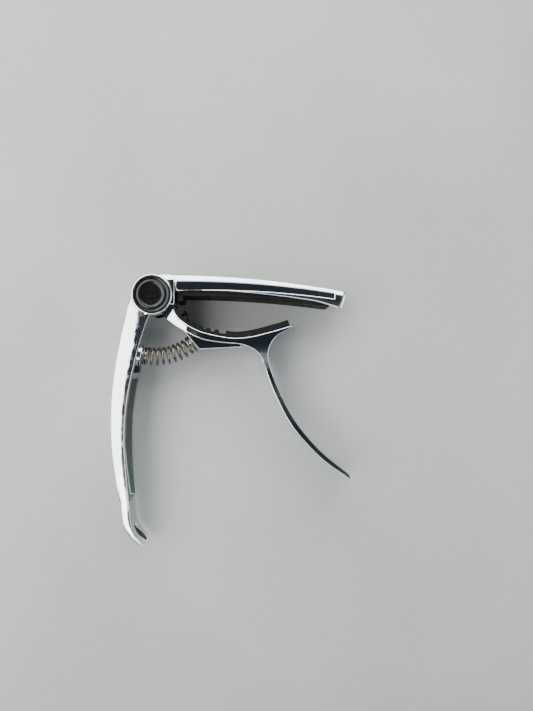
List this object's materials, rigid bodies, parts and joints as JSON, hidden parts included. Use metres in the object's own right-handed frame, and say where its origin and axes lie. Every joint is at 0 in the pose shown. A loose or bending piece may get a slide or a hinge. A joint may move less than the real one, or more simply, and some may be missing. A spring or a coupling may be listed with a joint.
{
  "type": "guitar capo",
  "caption": "Spring-loaded trigger capo: a padded string bar with a long back handle, hinged to a padded jaw with a curved trigger handle.",
  "frame": {"origin": "on the pivot's axis, in the plane of the side that the capo lies on", "axes": "+X from the pivot along the string bar towards its tip, +Y from the handles towards the bar's back, +Z across the capo's width, up as it lies on its side"},
  "size_m": [0.0884, 0.1013, 0.018],
  "materials": {
    "chrome": "bright chrome plate on a polished casting",
    "rubber": "matt moulded silicone rubber",
    "steel": "turned steel",
    "nylon": "natural nylon",
    "black_gloss": "black gloss",
    "spring_steel": "drawn and plated spring wire"
  },
  "bodies": {
    "bar": {"bar_handle": "chrome", "string_pad": "rubber", "pivot_pin": "steel", "washer_front": "nylon", "washer_back": "nylon", "front_cap": "black_gloss", "back_cap": "black_gloss", "return_spring": "spring_steel"},
    "jaw": {"jaw_handle": "chrome", "neck_pad": "rubber"}
  },
  "joints": [
    {"name": "jaw_pivot", "type": "hinge", "parent": "bar", "child": "jaw", "pos_m": [0, 0, 0.009], "axis": [0, 0, -1], "range_deg": [0, 24], "stiffness_Nm_per_rad": 1.5, "springref_deg": -15.47, "deforming": ["return_spring"]}
  ]
}
